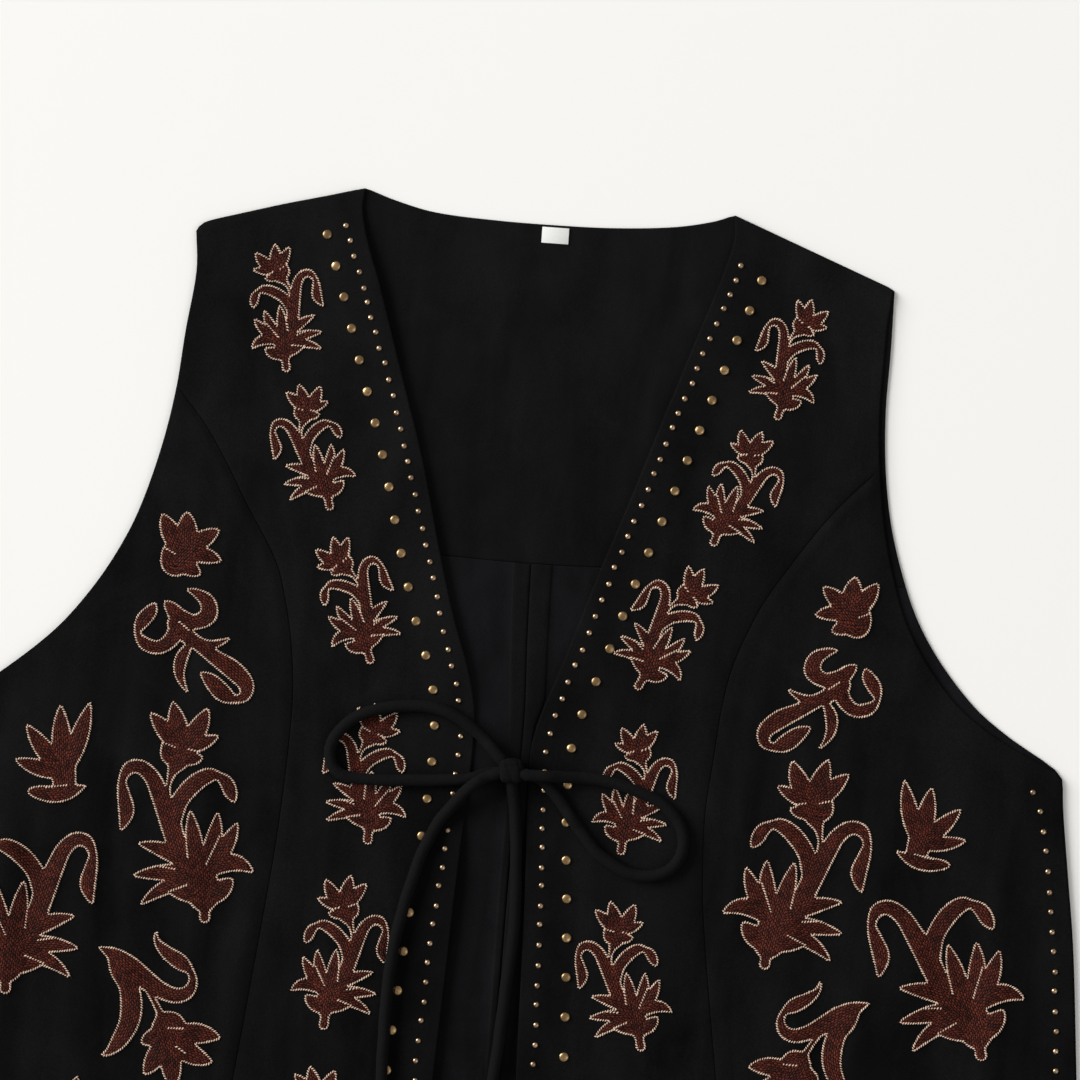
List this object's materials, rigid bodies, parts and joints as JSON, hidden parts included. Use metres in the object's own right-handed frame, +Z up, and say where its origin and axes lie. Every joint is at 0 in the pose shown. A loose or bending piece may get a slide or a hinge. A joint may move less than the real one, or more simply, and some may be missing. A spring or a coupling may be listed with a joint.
{
  "type": "embroidered vest laid flat",
  "caption": "Sleeveless open-front folk vest of black suede with embroidered sprigs, brass studs and a cord tied in a bow, laid flat with its back underneath.",
  "frame": {"origin": "centre of the footprint of the vest laid flat, at the surface it lies on", "axes": "+X towards the wearer's left, +Y towards the neck, +Z up out of the surface"},
  "size_m": [0.62, 0.5825, 0.0154],
  "materials": {
    "suede": "soft matt nap",
    "suede_reverse": "matt reverse",
    "tie_cord": "matt fabric cord",
    "label": "smooth woven",
    "embroidery_fill": "chain stitch thread",
    "embroidery_outline": "chain stitch thread",
    "studs": "antique brass"
  },
  "bodies": {
    "root": {"front_centre_right": "suede", "front_centre_left": "suede", "front_side_right": "suede", "front_side_left": "suede", "back_yoke": "suede", "back_lower_right": "suede_reverse", "back_lower_left": "suede_reverse", "tie_loop_right": "tie_cord", "tie_loop_left": "tie_cord", "tie_tail_right": "tie_cord", "tie_tail_left": "tie_cord", "tie_knot": "tie_cord", "size_label": "label"}
  },
  "joints": []
}
